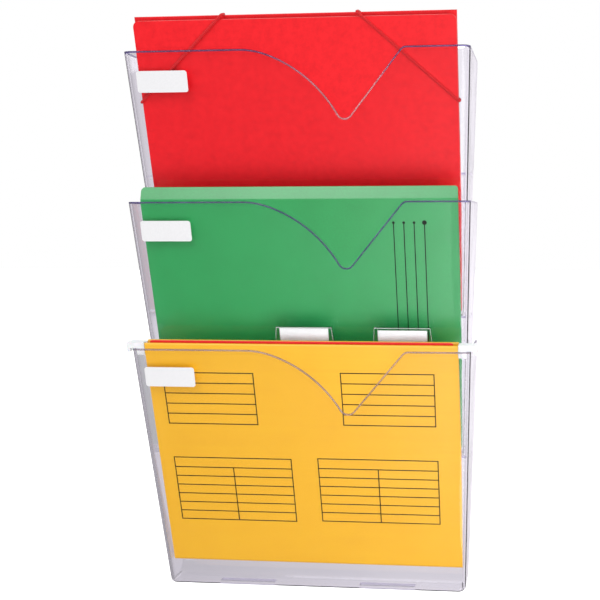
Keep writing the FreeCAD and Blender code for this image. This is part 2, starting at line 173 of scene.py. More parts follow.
PITCH = 0.144                       # from one pocket up to the next
SCREW_ROW = 0.118                   # from the lowest underside up to the origin
RIM_LOW, RIM_HIGH = 0.38, 0.82      # where rim and notch lie, in pitches above a pocket's underside
WALL_REAR = 0.150                   # rear faces further out than this are the rear edges of the walls
REAR_SHARE = 0.4                    # how dark a rear edge is beside a rim
SLOT_LINE, SLOT_REACH = 0.032, 0.0036       # how far before the wall the floor slots lie, half their depth
SLOT_TOP = 0.016                    # floor slots end below this share of a pitch
EDGE_TINT, SLOT_TINT = (0.20, 0.18, 0.30), (0.62, 0.58, 0.72)
BODY_TINT, BODY_DENSITY = (0.70, 0.66, 0.82, 1), 38.0
TOP_RIM, LOW_RIM = 0.3, 0.18        # heights that tell the upper rim and the lower rim, which carry the painted highlight, from the others
HIGHLIGHT_FROM, HIGHLIGHT_TO = (-0.03, 0.03), (0.095, 0.075)      # where the painted highlight on the upper rim begins and where it ends
LOW_RIM_HIGHLIGHT = 0.8                      # how far the lower rim is painted towards the pale highlight colour


def cut_edges(n):
    """Two masks: rims, notch and rear edges in the first, the walls of the floor slots in the second."""
    facing = n.xyz(n.add("ShaderNodeNewGeometry").outputs["True Normal"])
    spot = n.xyz(n.place)
    level = n.math("FRACT", n.math("DIVIDE", n.math("ADD", spot["Z"], SCREW_ROW), PITCH))
    upward = n.math("GREATER_THAN", facing["Z"], 0.3)
    in_rim = n.both(n.math("GREATER_THAN", level, RIM_LOW), n.math("LESS_THAN", level, RIM_HIGH))
    aside = n.math("GREATER_THAN", n.math("ABSOLUTE", spot["X"]), WALL_REAR)
    rear = n.both(n.math("GREATER_THAN", facing["Y"], 0.9), aside, REAR_SHARE)
    upright = n.math("LESS_THAN", n.math("ABSOLUTE", facing["Z"]), 0.1)
    inside = n.math("LESS_THAN", n.math("ABSOLUTE", n.math("ADD", spot["Y"], SLOT_LINE)), SLOT_REACH)
    slots = n.both(n.math("LESS_THAN", level, SLOT_TOP), inside, upright)
    return n.math("MAXIMUM", n.both(upward, in_rim), rear), slots


def clear_plastic():
    """Crystal plastic: clear faces, and cut edges that gather the tint of the whole sheet."""
    n = Nodes("clear_plastic")
    waviness = n.noise(14, 2, 0.4)
    ripples = n.noise(60, 2, 0.5)
    scratches = n.noise(1, 4, 0.6, n.mapped((900, 60, 40), (0.3, 0.2, 0.7)))
    height = n.math("ADD", waviness, n.math("MULTIPLY", ripples, 0.12))
    smooth = n.bump(height, 0.0006, 0.3)
    marked = n.bump(scratches, 0.00002, 0.4, smooth)
    edge, slots = cut_edges(n)
    tint = n.ramp(n.noise(9, 2), (0.3, (0.975, 0.97, 0.985)), (0.7, (0.99, 0.985, 0.995)))
    colour = n.mix(slots, n.mix(edge, tint, EDGE_TINT), SLOT_TINT)
    clouded = n.math("MAXIMUM", edge, slots)
    rough = n.math("ADD", n.span(scratches, 0.0, 0.04), n.math("MULTIPLY", clouded, 0.2))
    clear = n.math("SUBTRACT", 1.0, n.math("MULTIPLY", clouded, 0.7))
    material = n.surface(Base_Color=colour, Roughness=rough, IOR=1.37, Normal=marked,
                         Transmission_Weight=clear)
    absorb = n.add("ShaderNodeVolumeAbsorption", {"Color": BODY_TINT, "Density": BODY_DENSITY})
    n.tree.links.new(absorb.outputs[0], n.output.inputs["Volume"])
    return material


def rim_plastic():
    """The rounded rims, where the tint gathers into a line: deep, with a painted highlight in pale colours
    on a stretch of the upper rim and on the lower rim, where light runs along them.
    """
    n = Nodes("rim_plastic")
    drift = n.noise(35, 3, 0.5)
    spot = n.xyz(n.place)
    deep = n.ramp(drift, (0.3, (0.20, 0.17, 0.40)), (0.7, (0.34, 0.30, 0.55)))
    # Painted highlight: these pale colours stand for light running along the rim.
    pale = n.ramp(drift, (0.3, (0.62, 0.55, 0.58)), (0.7, (0.80, 0.72, 0.74)))
    # Where the painted highlight lies: a stretch of the upper rim, and, a little weaker, the lower rim.
    slope = n.both(n.fade(spot["X"], *HIGHLIGHT_FROM), n.fade(spot["X"], *HIGHLIGHT_TO))
    on_top = n.both(slope, n.math("GREATER_THAN", spot["Z"], TOP_RIM))
    low = n.both(n.math("LESS_THAN", spot["Z"], LOW_RIM), LOW_RIM_HIGHLIGHT)
    colour = n.mix(n.math("MAXIMUM", on_top, low), deep, pale)
    return n.surface(Base_Color=colour, Roughness=n.span(drift, 0.08, 0.18), IOR=1.49,
                     Transmission_Weight=0.8, Normal=n.bump(drift, 0.0004, 0.4))


def tab_rim():
    """The welded edges of the clear index holders."""
    n = Nodes("tab_rim")
    drift = n.noise(70, 3, 0.5)
    colour = n.ramp(drift, (0.3, (0.80, 0.88, 0.83)), (0.7, (0.95, 0.98, 0.96)))
    return n.surface(Base_Color=colour, Roughness=n.span(drift, 0.15, 0.3), IOR=1.46,
                     Transmission_Weight=0.35, Normal=n.bump(drift, 0.0002, 0.3))


def label_paper():
    n = Nodes("label_paper")
    fibres = n.noise(1400, 4, 0.7)
    colour = n.ramp(fibres, (0.25, rgb(218, 218, 220)), (0.8, rgb(236, 235, 237)))
    return n.surface(Base_Color=colour, Roughness=n.span(fibres, 0.55, 0.8),
                     Normal=n.bump(fibres, 0.00004, 0.5))


def board(name, shades, gloss, mottle, shine, ripple=0.0, blotch=28, ior=1.5):
    """Coloured card, mottled through its fibres.

    shades are its dark, middle and light colours, gloss its lowest and highest roughness, mottle and
    blotch the fineness of its flecks and clouds, and ripple the share of fine streaks across it.
    """
    n = Nodes(name)
    flecks = n.noise(mottle, 5, 0.72)
    clouds = n.noise(blotch, 3, 0.55)
    fine = n.noise(2600, 3, 0.7)
    streaks = n.noise(1, 3, 0.6, n.mapped((7, 7, 230)))
    blend = n.math("ADD", n.math("MULTIPLY", flecks, 0.75 - ripple), n.math("MULTIPLY", clouds, 0.25))
    blend = n.math("ADD", blend, n.math("MULTIPLY", streaks, ripple))
    colour = n.ramp(blend, *zip((0.30, 0.50, 0.72), shades))
    rough = n.math("ADD", n.span(flecks, gloss[0], gloss[1]), n.math("MULTIPLY", fine, 0.06))
    height = n.math("ADD", n.math("MULTIPLY", flecks, 0.7), n.math("MULTIPLY", fine, 0.3))
    return n.surface(Base_Color=colour, Roughness=rough, Normal=n.bump(height, 0.00008, 0.45),
                     Specular_IOR_Level=shine, IOR=ior)


def paper(name, dark, light):
    n = Nodes(name)
    fibres = n.noise(1700, 4, 0.7)
    clouds = n.noise(40, 2)
    blend = n.math("MULTIPLY", n.math("ADD", fibres, clouds), 0.5)
    return n.surface(Base_Color=n.ramp(blend, (0.3, dark), (0.7, light)),
                     Roughness=n.span(fibres, 0.7, 0.9), Normal=n.bump(fibres, 0.00004, 0.4))


def print_ink():
    n = Nodes("print_ink")
    grain = n.noise(3200, 3, 0.8)
    colour = n.ramp(grain, (0.3, (0.004, 0.004, 0.003)), (0.8, (0.02, 0.018, 0.014)))
    return n.surface(Base_Color=colour, Roughness=n.span(grain, 0.45, 0.7))


def woven_elastic():
    n = Nodes("woven_elastic")
    uv = n.add("ShaderNodeTexCoord").outputs["UV"]

    def strand(turn):
        vector = n.add("ShaderNodeMapping", {"Vector": uv, "Rotation": (0, 0, turn)}).outputs[0]
        links = {"Vector": vector, "Scale": 9.0}
        return n.add("ShaderNodeTexWave", links, wave_profile="SIN").outputs["Fac"]

    weave = n.math("MAXIMUM", strand(math.radians(45)), strand(math.radians(-45)))
    fuzz = n.noise(5200, 3, 0.7)
    colour = n.ramp(n.math("MULTIPLY", weave, n.span(fuzz, 0.7, 1.1)),
                    (0.35, rgb(205, 12, 22)), (0.9, rgb(242, 22, 32)))
    return n.surface(Base_Color=colour, Roughness=n.span(fuzz, 0.6, 0.85),
                     Normal=n.bump(weave, 0.00018, 0.8), Sheen_Weight=0.08, Sheen_Roughness=0.4)


def plated_steel():
    n = Nodes("plated_steel")
    drawn = n.noise(1, 3, 0.6, n.mapped((30, 2400, 2400)))
    colour = n.ramp(drawn, (0.3, (0.42, 0.43, 0.45)), (0.7, (0.66, 0.67, 0.69)))
    return n.surface(Base_Color=colour, Metallic=1.0, Roughness=n.span(drawn, 0.25, 0.45),
                     Normal=n.bump(drawn, 0.00002, 0.3))


def moulded_white(name, dark, light):
    n = Nodes(name)
    grain = n.noise(1900, 3, 0.6)
    clouds = n.noise(160, 2)
    colour = n.ramp(clouds, (0.3, dark), (0.7, light))
    return n.surface(Base_Color=colour, Roughness=n.span(grain, 0.3, 0.45), Subsurface_Weight=0.08,
                     Subsurface_Scale=0.002, Normal=n.bump(grain, 0.00003, 0.3))


def tab_plastic():
    n = Nodes("tab_plastic")
    ripple = n.noise(90, 2)
    colour = n.ramp(ripple, (0.3, (0.93, 0.95, 0.94)), (0.7, (0.97, 0.98, 0.975)))
    return n.surface(Base_Color=colour, Roughness=n.span(ripple, 0.02, 0.10), IOR=1.46,
                     Transmission_Weight=1.0, Normal=n.bump(ripple, 0.0002, 0.3))


RED_SHADES = rgb(222, 8, 24), rgb(236, 14, 28), rgb(246, 22, 34)
THIN_RED_SHADES = rgb(205, 20, 28), rgb(226, 32, 36), rgb(238, 52, 50)
GREEN_SHADES = rgb(6, 150, 70), rgb(12, 168, 82), rgb(24, 180, 92)
YELLOW_SHADES = rgb(244, 176, 6), rgb(250, 186, 10), rgb(253, 194, 18)
MATERIALS = {
    "clear_plastic": clear_plastic(),
    "rim_plastic": rim_plastic(),
    "tab_rim": tab_rim(),
    "label_paper": label_paper(),
    "red_board": board("red_board", RED_SHADES, (0.32, 0.44), 150, 0.42, blotch=60),
    "red_edge": paper("red_edge", rgb(214, 84, 84), rgb(240, 150, 146)),
    "thin_red_card": board("thin_red_card", THIN_RED_SHADES, (0.4, 0.5), 900, 0.5),
    "red_elastic": woven_elastic(),
    "green_board": board("green_board", GREEN_SHADES, (0.35, 0.42), 900, 1.0, ior=1.75),
    "green_edge": paper("green_edge", rgb(70, 150, 104), rgb(130, 190, 150)),
    "yellow_board": board("yellow_board", YELLOW_SHADES, (0.34, 0.42), 800, 1.0, ripple=0.35, ior=1.58),
    "yellow_edge": paper("yellow_edge", rgb(240, 200, 120), rgb(250, 222, 160)),
    "white_paper": paper("white_paper", rgb(236, 235, 237), rgb(250, 249, 250)),
    "print_ink": print_ink(),
    "rod_steel": plated_steel(),
    "white_plastic": moulded_white("white_plastic", rgb(226, 227, 230), rgb(243, 243, 245)),
    "tab_plastic": tab_plastic(),
}


# ---------------------------------------------------------------- mesh helpers

def new_piece(name, mesh_maker, materials, body, replaces=(), place=None):
    """Turn a bmesh into a finished piece of the object."""
    mesh = bpy.data.meshes.new(name)
    made = bmesh.new()
    mesh_maker(made)
    bmesh.ops.recalc_face_normals(made, faces=made.faces)
    made.to_mesh(mesh)
    made.free()
    piece = bpy.data.objects.new(name, mesh)
    bpy.context.scene.collection.objects.link(piece)
    for material in materials:
        mesh.materials.append(MATERIALS[material])
    if place is not None:
        piece.matrix_world = place
    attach(piece, body)
    if replaces:
        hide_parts(*replaces)
    return piece


def soften(piece, width, segments=2, angle=40, rim=-1):
    """Round the sharp edges a little and shade the rest smooth. rim is the rounding's material slot."""
    for polygon in piece.data.polygons:
        polygon.use_smooth = True
    bevel = piece.modifiers.new("rounded_edges", "BEVEL")
    bevel.width = width
    bevel.segments = segments
    bevel.limit_method = "ANGLE"
    bevel.angle_limit = math.radians(angle)
    bevel.harden_normals = True
    bevel.material = rim
    return piece


def cover(name, material):
    """Give a CAD node its material."""
    nodes[name].data.materials.clear()
    nodes[name].data.materials.append(MATERIALS[material])


def file_frame(node, thick):
    """Where a filed folder stands: x across, y from its front to its back, z up its slope."""
    low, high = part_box(node)
    front = high.y - thick * math.cos(FILE_TILT)
    return Matrix.Translation((0, front, low.z)) @ Matrix.Rotation(FILE_TILT, 4, "X")


def smooth_path(corners, step=6 * MM):
    """Points along a line of (depth, height, bend radius) corners, with each bend rounded."""
    points = []
    for index, (y, z, radius) in enumerate(corners):
        here = Vector((y, z))
        if index in (0, len(corners) - 1) or radius == 0:
            points.append(here)
            continue
        before = Vector(corners[index - 1][:2]) - here
        after = Vector(corners[index + 1][:2]) - here
        half = before.angle(after) / 2
        if half > math.radians(89.5):
            points.append(here)
            continue
        reach = radius / math.tan(half)
        start = here + before.normalized() * reach
        end = here + after.normalized() * reach
        centre = here + (before.normalized() + after.normalized()).normalized() * radius / math.sin(half)
        turn = math.pi - 2 * half
        arcs = max(3, round(turn / math.radians(15)))
        sweep = (start - centre).angle_signed(end - centre)
        for count in range(arcs + 1):
            arm = (start - centre).copy()
            arm.rotate(Matrix.Rotation(-sweep * count / arcs, 2))
            points.append(centre + arm)
    dense = [points[0]]
    for point in points[1:]:
        gap = (point - dense[-1]).length
        pieces = max(1, round(gap / step))
        start = dense[-1].copy()
        for count in range(1, pieces + 1):
            dense.append(start.lerp(point, count / pieces))
    return dense


def corner_rows(path, radius, parts=6):
    """Add rows close to both ends of a path so that rounded card corners come out round."""
    def near_end(points):
        out = [points[0]]
        heading = (points[1] - points[0]).normalized()
        for count in range(1, parts + 1):
            out.append(points[0] + heading * radius * (1 - math.cos(count / parts * math.pi / 2)))
        rest = [p for p in points if (p - points[0]).length > radius * 1.2]
        return out + rest
    if not radius:
        return path
    return near_end(near_end(path)[::-1])[::-1]


def card(made, path, width, thick, corner=(0, 0), wave=None, narrow=None):
    """A sheet bent along path. Its thickness lies on the left of the path's direction.

    corner rounds the corners at the path's two ends, wave shifts each point by its place, and narrow
    says how much each side draws in at a height.
    """
    columns = 28
    path = corner_rows(path, max(corner))
    lengths = [0]
    for a, b in zip(path, path[1:]):
        lengths.append(lengths[-1] + (b - a).length)
    total = lengths[-1]
    outer, inner = [], []
    for index, point in enumerate(path):
        before = path[max(index - 1, 0)]
        after = path[min(index + 1, len(path) - 1)]
        heading = (after - before).normalized()
        normal = Vector((-heading.y, heading.x))
        half = width / 2
        for distance, radius in ((lengths[index], corner[0]), (total - lengths[index], corner[1])):
            if distance < radius:
                half = width / 2 - radius + math.sqrt(max(radius ** 2 - (radius - distance) ** 2, 0))
        if narrow:
            half -= narrow(point.y)
        rows = ([], [])
        for column in range(columns + 1):
            share = column / columns * 2 - 1
            x = half * math.copysign(abs(share) ** 0.9, share)
            shift = wave(x, point.x, point.y) if wave else 0
            for row, depth in zip(rows, (0, thick)):
                spot = point + normal * depth
                row.append(made.verts.new((x, spot.x + shift, spot.y)))
        outer.append(rows[0])
        inner.append(rows[1])
    rim = []
    for layer in (outer, inner):
        for upper, lower in zip(layer, layer[1:]):
            for k in range(columns):
                made.faces.new((upper[k], upper[k + 1], lower[k + 1], lower[k]))
    for k in range(columns):
        for end in (0, -1):
            rim.append((outer[end][k], outer[end][k + 1], inner[end][k + 1], inner[end][k]))
    for k in range(len(path) - 1):
        for side in (0, -1):
            rim.append((outer[k][side], outer[k + 1][side], inner[k + 1][side], inner[k][side]))
    for corners in rim:
        face = made.faces.new(corners)
        face.material_index = 1


def block(made, low, high):
    """A closed box, added to a larger mesh."""
    corners = [made.verts.new((x, y, z)) for x in (low[0], high[0]) for y in (low[1], high[1])
               for z in (low[2], high[2])]
    for face in ((0, 1, 3, 2), (4, 6, 7, 5), (0, 4, 5, 1), (2, 3, 7, 6), (0, 2, 6, 4), (1, 5, 7, 3)):
        made.faces.new([corners[k] for k in face])


def plate(made, outline, back, front):
    """A flat closed plate: outline of (x, z) points, pulled from y = back to y = front."""
    rings = [[made.verts.new((x, y, z)) for x, z in outline] for y in (back, front)]
    for ring in rings:
        made.faces.new(ring)
    count = len(outline)
    for k in range(count):
        after = (k + 1) % count
        made.faces.new((rings[0][k], rings[0][after], rings[1][after], rings[1][k]))


def rounded_outline(corners, steps=5):
    """Outline points of a polygon of (x, z, radius) corners."""
    out = []
    count = len(corners)
    for index, (x, z, radius) in enumerate(corners):
        here = Vector((x, z))
        if radius == 0:
            out.append((x, z))
            continue
        before = (Vector(corners[index - 1][:2]) - here).normalized()
        after = (Vector(corners[(index + 1) % count][:2]) - here).normalized()
        half = before.angle(after) / 2
        start = here + before * radius / math.tan(half)
        end = here + after * radius / math.tan(half)
        centre = here + (before + after).normalized() * radius / math.sin(half)
        for k in range(steps + 1):
            arm = (start - centre).lerp(end - centre, k / steps).normalized() * radius
            out.append(tuple(centre + arm))
    return out


def tube_rings(made, points, headings, radius, around):
    """One ring of vertices round each point, square to its heading and without twist."""
    rings = []
    side = headings[0].orthogonal().normalized()
    for point, heading in zip(points, headings):
        side = (side - heading * side.dot(heading)).normalized()
        other = heading.cross(side)
        rings.append([made.verts.new(point + (side * math.cos(a) + other * math.sin(a)) * radius)
                      for a in (j / around * math.tau for j in range(around))])
    return rings


def bead(made, points, radius, around=8):
    """A round bead along an open line of points."""
    last = len(points) - 1
    headings = [(points[min(k + 1, last)] - points[max(k - 1, 0)]).normalized() for k in range(last + 1)]
    rings = tube_rings(made, points, headings, radius, around)
    for ring, ahead in zip(rings, rings[1:]):
        seam = min(range(around), key=lambda j: (ring[0].co - ahead[j].co).length)
        for j in range(around):
            made.faces.new((ring[j], ring[(j + 1) % around],
                            ahead[(j + 1 + seam) % around], ahead[(j + seam) % around]))
    made.faces.new(rings[0])
    made.faces.new(rings[-1][::-1])


# ---------------------------------------------------------------- pockets and labels

POCKET_TALL = 259 * MM
FOOT_DEPTH, RIM_DEPTH = 44.5 * MM, 102 * MM
FOOT_HALF, RIM_HALF = 158 * MM, 168 * MM
WALL_MIDDLE = 1.1 * MM
RIM_BEAD = 0.8 * MM
CORNER_BEND = 8 * MM                # outer radius of a pocket's corners
SHOULDER_X = -53 * MM               # where the notch leaves the rim
NOTCH_ARCS = ((78, -20, 6), (122.5, -41, 16), (8, 110.6, 12))    # radius in mm, turn in degrees, steps
LIP_RADIUS, LIP_ANGLE = 8 * MM, 49.6
REAR_HEIGHTS = (148 * MM, 185 * MM, 220 * MM)                    # points of the rim down a rear edge
PANEL_LEAN = math.atan2(RIM_DEPTH - FOOT_DEPTH, POCKET_TALL)
LABEL_CORNER, LABEL_GAP = 2.5 * MM, 0.3 * MM


def arc(start, heading, radius, turn, steps):
    """Points of an arc that leaves start and turns by turn degrees, and its last heading."""
    side = math.copysign(1, turn)
    centre = start + Vector((-math.sin(heading), math.cos(heading))) * radius * side
    points = []
    for k in range(1, steps + 1):
        swing = math.radians(turn) * k / steps
        arm = start - centre
        points.append(centre + Vector((arm.x * math.cos(swing) - arm.y * math.sin(swing),
                                       arm.x * math.sin(swing) + arm.y * math.cos(swing))))
    return points, heading + math.radians(turn)


def notch_line():
    """The finger notch in front view, as (x, height) points from its left shoulder to its right lip."""
    points = [Vector((SHOULDER_X, POCKET_TALL))]
    heading = 0
    rising = math.radians(LIP_ANGLE)
    for radius, turn, steps in NOTCH_ARCS:
        more, heading = arc(points[-1], heading, radius * MM, turn, steps)
        points += more
    lip_rise = LIP_RADIUS * (1 - math.cos(rising))
    run = (POCKET_TALL - lip_rise - points[-1].y) / math.tan(rising)
    start = points[-1]
    points += [start + Vector((run, run * math.tan(rising))) * k / 8 for k in range(1, 9)]
    return points + arc(points[-1], rising, LIP_RADIUS, -LIP_ANGLE, 6)[0]


def rim_line():
    """The middle of a pocket's rim, from its left rear edge over the notch to its right rear edge."""
    top = POCKET_TALL - RIM_BEAD
    half = RIM_HALF - WALL_MIDDLE
    front = WALL_MIDDLE / math.cos(PANEL_LEAN) - RIM_DEPTH
    bend = CORNER_BEND - WALL_MIDDLE
    quarter = [math.radians(k * 15) for k in range(7)]

    def rear(z):
        return FOOT_HALF + (RIM_HALF - FOOT_HALF) * z / POCKET_TALL - WALL_MIDDLE

    left = [Vector((-rear(z), -WALL_MIDDLE, z)) for z in REAR_HEIGHTS]
    left += [Vector((-half, -WALL_MIDDLE - bend * (1 - math.cos(a)), top - bend * (1 - math.sin(a))))
             for a in quarter]
    left += [Vector((-half, y * MM, top)) for y in (-30, -60, -80)]
    left += [Vector((-half + bend * (1 - math.cos(a)), front + bend * (1 - math.sin(a)), top))
             for a in quarter]
    line = left[:]
    for x, z in [(-120 * MM, POCKET_TALL), (-80 * MM, POCKET_TALL), *notch_line()]:
        z -= RIM_BEAD
        line.append(Vector((x, front + (top - z) * math.tan(PANEL_LEAN), z)))
    line.append(Vector((130 * MM, front, top)))
    return line + [Vector((-p.x, p.y, p.z)) for p in reversed(left)]


for level in LEVELS:
    pocket = nodes[level + "_pocket"]
    cover(level + "_pocket", "clear_plastic")
    pocket.visible_shadow = False
    pocket.visible_diffuse = False
    shift = Vector((0, 0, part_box(level + "_pocket")[0].z))
    rim = new_piece(level + "_pocket_rim",
                    lambda made: bead(made, [p + shift for p in rim_line()], RIM_BEAD),
                    ["rim_plastic"], level)
    rim.visible_shadow = False
    for polygon in rim.data.polygons:
        polygon.use_smooth = True

    low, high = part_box(level + "_label")
    label_tall = (high.z - low.z) / math.cos(PANEL_LEAN) - LABEL_GAP * math.tan(PANEL_LEAN)
    width = high.x - low.x
    outline = rounded_outline([(0, 0, LABEL_CORNER), (width, 0, LABEL_CORNER),
                               (width, label_tall, LABEL_CORNER), (0, label_tall, LABEL_CORNER)])
    place = Matrix.Translation((low.x, high.y, low.z + LABEL_GAP * math.sin(PANEL_LEAN)))
    label = new_piece(level + "_label_card", lambda made: plate(made, outline, -0.02 * MM, -0.28 * MM),
                      ["label_paper"], level, [level + "_label"],
                      place @ Matrix.Rotation(PANEL_LEAN, 4, "X"))
    soften(label, 0.06 * MM)


# ---------------------------------------------------------------- red elastic folder

FILE_WIDTH = 311 * MM
SHEET_LONG = 297 * MM
RED_THICK = 7 * MM
RED_BOARD = 0.9 * MM
RED_BACK = 296.5 * MM
RED_FRONT = 293 * MM
RED_CORNER = 6 * MM
CORD_RADIUS = 1.25 * MM
CORD_REACH = {"left": (87 * MM, 79 * MM), "right": (92 * MM, 82 * MM)}      # along the top, down the side
red_place = file_frame("red_folder_card", RED_THICK)


def red_wave(x, y, z):
    """The covers bow a little between their edges."""
    bow = 0.35 * MM * math.sin(z / RED_BACK * math.pi) * math.cos(x / FILE_WIDTH * math.pi)
    return bow if y > RED_THICK / 2 else -bow


red_path = smooth_path([(0, RED_FRONT, 0), (0, 0, 2.6 * MM), (RED_THICK, 0, 2.6 * MM),
                        (RED_THICK, RED_BACK, 0)])
red_card = new_piece(
    "red_folder_cover",
    lambda made: card(made, red_path, FILE_WIDTH, RED_BOARD, (RED_CORNER, 0), red_wave),
    ["red_board", "red_edge"], "red_folder", ["red_folder_card"], red_place)
soften(red_card, 0.38 * MM, rim=1)

flap_depth = RED_THICK - RED_BOARD - 1.0 * MM
flap_path = smooth_path([(flap_depth, 90 * MM, 0), (flap_depth - 0.4 * MM, 20 * MM, 30 * MM),
                         (flap_depth, 1.6 * MM, 0)])
red_flap = new_piece("red_folder_inner_flap",
                     lambda made: card(made, flap_path, FILE_WIDTH - 12 * MM, 0.5 * MM, (RED_CORNER, 0)),
                     ["red_board", "red_edge"], "red_folder", ["red_folder_flap"], red_place)
soften(red_flap, 0.1 * MM)


def sheaf(made, width, low, high, count, seed):
    """A stack of separate sheets, each a little out of line."""
    draw = random.Random(seed)
    pitch = (high[0] - low[0]) / count
    for k in range(count):
        slip = draw.uniform(-0.5, 0.5) * MM
        lift = draw.uniform(-0.6, 0) * MM
        start = low[0] + k * pitch
        block(made, (-width / 2 + slip, start, low[1]),
              (width / 2 + slip, start + pitch * 0.7, high[1] + lift))


def papers(name, node, body, place, depth, foot, top, count, seed):
    """A stack of count A4 sheets, lying on its long side between two depths and two heights."""
    new_piece(name, lambda made: sheaf(made, SHEET_LONG, (depth[0], foot), (depth[1], top), count, seed),
              ["white_paper"], body, [node], place)


papers("red_folder_sheets", "red_folder_papers", "red_folder", red_place,
       (1.3 * MM, 4.9 * MM), 1.3 * MM, 231 * MM, 14, 3)


def cord_loop(points, radius):
    """A closed round cord through the points, with UVs along its length for the weave."""
    def maker(made):
        uv = made.loops.layers.uv.new("along")
        around = 12
        count = len(points)
        travelled = [0]
        for k in range(count):
            travelled.append(travelled[-1] + (points[(k + 1) % count] - points[k]).length)
        headings = [(points[(k + 1) % count] - points[k - 1]).normalized() for k in range(count)]
        rings = tube_rings(made, points, headings, radius, around)
        seam = min(range(around), key=lambda j: (rings[0][j].co - rings[-1][0].co).length)
        for k in range(count):
            ahead = rings[(k + 1) % count]
            shift = seam if k == count - 1 else 0
            for j in range(around):
                face = made.faces.new((rings[k][j], rings[k][(j + 1) % around],
                                       ahead[(j + 1 + shift) % around], ahead[(j + shift) % around]))
                corners = ((k, j), (k, j + 1), (k + 1, j + 1), (k + 1, j))
                for loop, (along, turn) in zip(face.loops, corners):
                    loop[uv].uv = (travelled[along] / (4 * radius), turn / around * 2)
    return maker


def elastic_points(side, sign):
    """The elastic lies straight over each cover and turns tightly round both edges."""
    clear = CORD_RADIUS + 0.12 * MM
    bend = CORD_RADIUS + 0.5 * MM
    edge = FILE_WIDTH / 2
    run_in, drop = CORD_REACH[side]
    on_top = Vector((sign * (edge - run_in), RED_BACK))
    on_side = Vector((sign * edge, RED_BACK - drop))
    slope = (on_side - on_top).normalized()
    points = []

    def run(start, end, y):
        for k in range(25):
            spot = start.lerp(end, k / 24)
            points.append(Vector((spot.x, y, spot.y)))

    def wrap(centre, outward, start_y, end_y):
        way = 1 if end_y > start_y else -1
        turns = [k / 8 * math.pi / 2 for k in range(1, 8)]
        places = [(bend * math.sin(turn), start_y + way * bend * (1 - math.cos(turn))) for turn in turns]
        places += [(bend, start_y + way * bend + (end_y - start_y - 2 * way * bend) * k / 3)
                   for k in range(4)]
        places += [(bend * math.cos(turn), end_y - way * bend * (1 - math.sin(turn))) for turn in turns]
        for reach, y in places:
            points.append(Vector((centre.x + outward.x * reach, y, centre.y + outward.y * reach)))

    front, back = -clear, RED_THICK + clear
    inset = clear - bend
    start = on_top + Vector((0, inset))
    end = on_side + Vector((sign * inset, 0))
    run(start, end, front)
    wrap(end, slope, front, back)
    run(end, start, back)
    wrap(start, -slope, back, front)
    return points


for side, sign in (("left", -1), ("right", 1)):
    band = new_piece("red_elastic_cord_" + side, cord_loop(elastic_points(side, sign), CORD_RADIUS),
                     ["red_elastic"], "red_folder", ["red_elastic_" + side], red_place)
    for polygon in band.data.polygons:
        polygon.use_smooth = True


# ---------------------------------------------------------------- green flat file

GREEN_THICK = 8 * MM
GREEN_TALL = 277.5 * MM
GREEN_BOARD = 0.8 * MM
green_place = file_frame("green_folder_card", GREEN_THICK)


def green_wave(x, y, z):
    """The covers bow a little between their ends."""
    bow = 0.3 * MM * math.sin(z / GREEN_TALL * math.pi)
    return bow if y > GREEN_THICK / 2 else -bow


CREASE = GREEN_TALL - 11 * MM
SPINE_CORNER = 3.5 * MM
green_top = GREEN_TALL - 0.05 * MM
green_path = smooth_path([(GREEN_THICK, 0, 0), (GREEN_THICK, GREEN_TALL - 1.4 * MM, 0.5 * MM),
                          (7.4 * MM, green_top, 0.5 * MM), (6.4 * MM, green_top, 0.5 * MM),
                          (0, CREASE, 2.5 * MM), (0, 0, 0)], 1.2 * MM)


def spine_corner(z):
    """The two ends of the spine are rounded."""
    depth = max(z - (GREEN_TALL - SPINE_CORNER), 0)
    return SPINE_CORNER - math.sqrt(max(SPINE_CORNER ** 2 - depth ** 2, 0))


green_card = new_piece(
    "green_folder_cover",
    lambda made: card(made, green_path, FILE_WIDTH, GREEN_BOARD, (4 * MM, 4 * MM), green_wave,
                      narrow=spine_corner),
    ["green_board", "green_edge"], "green_folder", ["green_folder_card"], green_place)
soften(green_card, 0.12 * MM)
papers("green_folder_sheets", "green_folder_papers", "green_folder", green_place,
       (1.5 * MM, 6.2 * MM), 43.5 * MM, 265 * MM, 18, 5)

LINE = 1.05 * MM                    # width of a printed line on the yellow sleeve
INK_BACK, INK_FRONT = -0.012 * MM, -0.05 * MM
SCALE_X = (93.2, 103.2, 113.2, 123.2)
SCALE_LINE, SCALE_FOOT, SCALE_HEAD, DOT_AT = 1.0 * MM, 24 * MM, 243 * MM, 243.2 * MM
DOT, LAST_DOT = 1.35 * MM, 2.3 * MM


def ink_bar(made, x, z, wave):
    """One printed line between two corners, lying on a cover's front."""
    steps = max(1, round(max(x[1] - x[0], z[1] - z[0]) / (8 * MM)))
    tall = z[1] - z[0] > x[1] - x[0]
    rings = []
    for k in range(steps + 1):
        share = k / steps
        if tall:
            spots = [(x[0], z[0] + (z[1] - z[0]) * share), (x[1], z[0] + (z[1] - z[0]) * share)]
        else:
            spots = [(x[0] + (x[1] - x[0]) * share, z[0]), (x[0] + (x[1] - x[0]) * share, z[1])]
        rings.append([made.verts.new((px, y + wave(px, 0, pz), pz))
                      for (px, pz), y in ((spots[0], INK_BACK), (spots[1], INK_BACK),
                                          (spots[1], INK_FRONT), (spots[0], INK_FRONT))])
    for a, b in zip(rings, rings[1:]):
        for k in range(4):
            made.faces.new((a[k], a[(k + 1) % 4], b[(k + 1) % 4], b[k]))
    made.faces.new(rings[0])
    made.faces.new(rings[-1][::-1])


def ink_dot(made, x, z, radius, wave):
    """One printed dot on a cover's front."""
    outline = [(x + radius * math.cos(a), z + radius * math.sin(a))
               for a in (k / 20 * math.tau for k in range(20))]
    shift = wave(x, 0, z)
    plate(made, outline, INK_BACK + shift, INK_FRONT + shift)


